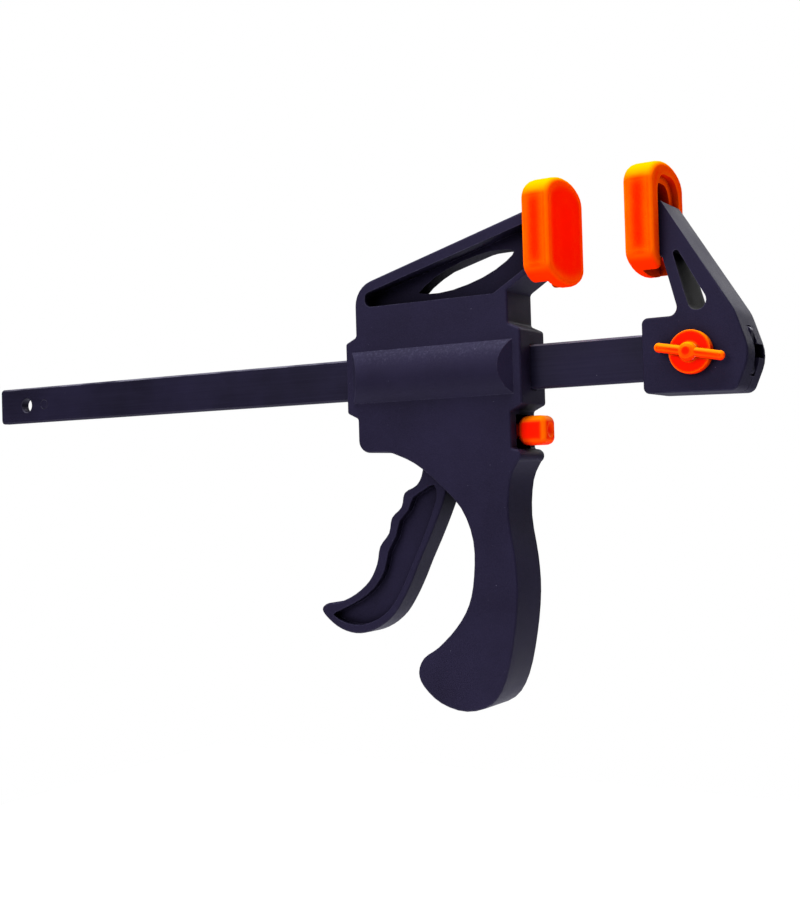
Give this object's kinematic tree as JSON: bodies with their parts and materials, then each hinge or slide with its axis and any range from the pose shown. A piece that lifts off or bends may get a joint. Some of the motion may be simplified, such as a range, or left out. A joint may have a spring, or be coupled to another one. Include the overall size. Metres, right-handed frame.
{
  "type": "one-hand bar clamp",
  "caption": "Ratcheting bar clamp: a trigger drives a padded sliding jaw along a flat steel bar towards a pinned, reversible fixed jaw.",
  "frame": {"origin": "centre of the fixed jaw pad's clamping face", "axes": "+X along the bar from the housing to the fixed jaw, +Y through the clamp's thickness away from the knob, +Z from the grip to the jaws"},
  "size_m": [0.3319, 0.0302, 0.178],
  "materials": {
    "nylon": "fine moulded grain, near-black blue",
    "soft_orange": "soft satin elastomer",
    "hard_orange": "satin moulded plastic",
    "black_steel": "black oxide, bright worn edges",
    "bright_steel": "ground and lightly oiled"
  },
  "bodies": {
    "bar_and_fixed_jaw": {"bar": "black_steel", "bar_stop_pin": "black_steel", "fixed_jaw": "nylon", "fixed_jaw_pad": "soft_orange"},
    "housing": {"housing": "nylon", "sliding_jaw_pad": "soft_orange", "trigger_pivot_pin": "bright_steel", "drive_spring": "bright_steel", "brake_spring": "bright_steel"},
    "trigger": {"trigger": "nylon"},
    "drive_plates": {"drive_plate_left": "bright_steel", "drive_plate_right": "bright_steel"},
    "brake": {"brake_plate": "bright_steel", "release_button": "hard_orange"},
    "jaw_dowel": {"jaw_pin_dowel": "bright_steel"},
    "jaw_knob": {"jaw_pin_knob": "hard_orange"}
  },
  "joints": [
    {"name": "housing_slide", "type": "slide", "parent": "bar_and_fixed_jaw", "child": "housing", "axis": [1, 0, 0], "range_m": [-0.158, 0.0252]},
    {"name": "trigger_squeeze", "type": "hinge", "parent": "housing", "child": "trigger", "pos_m": [-0.0762, 0, -0.066], "axis": [0, -1, 0], "range_deg": [0, 20], "stiffness_Nm_per_rad": 0.5, "springref_deg": -17.19},
    {"name": "drive_plates_slide", "type": "slide", "parent": "housing", "child": "drive_plates", "axis": [-1, 0, 0], "range_m": [0, 0.0042], "deforming": ["drive_spring"]},
    {"name": "brake_release", "type": "hinge", "parent": "housing", "child": "brake", "pos_m": [-0.0527, 0, -0.031], "axis": [0, 1, 0], "range_deg": [0, 4], "stiffness_Nm_per_rad": 0.4, "springref_deg": -11.46, "deforming": ["brake_spring"]},
    {"name": "jaw_pin_pull", "type": "slide", "parent": "bar_and_fixed_jaw", "child": "jaw_dowel", "axis": [0, -1, 0], "range_m": [0, 0.018]},
    {"name": "jaw_knob_turn", "type": "hinge", "parent": "jaw_dowel", "child": "jaw_knob", "pos_m": [0.0192, -0.01, -0.044], "axis": [0, 1, 0], "continuous": true}
  ],
  "couplings": [
    {"joint": "drive_plates_slide", "follows": "trigger_squeeze", "m_per_rad": 0.011}
  ]
}
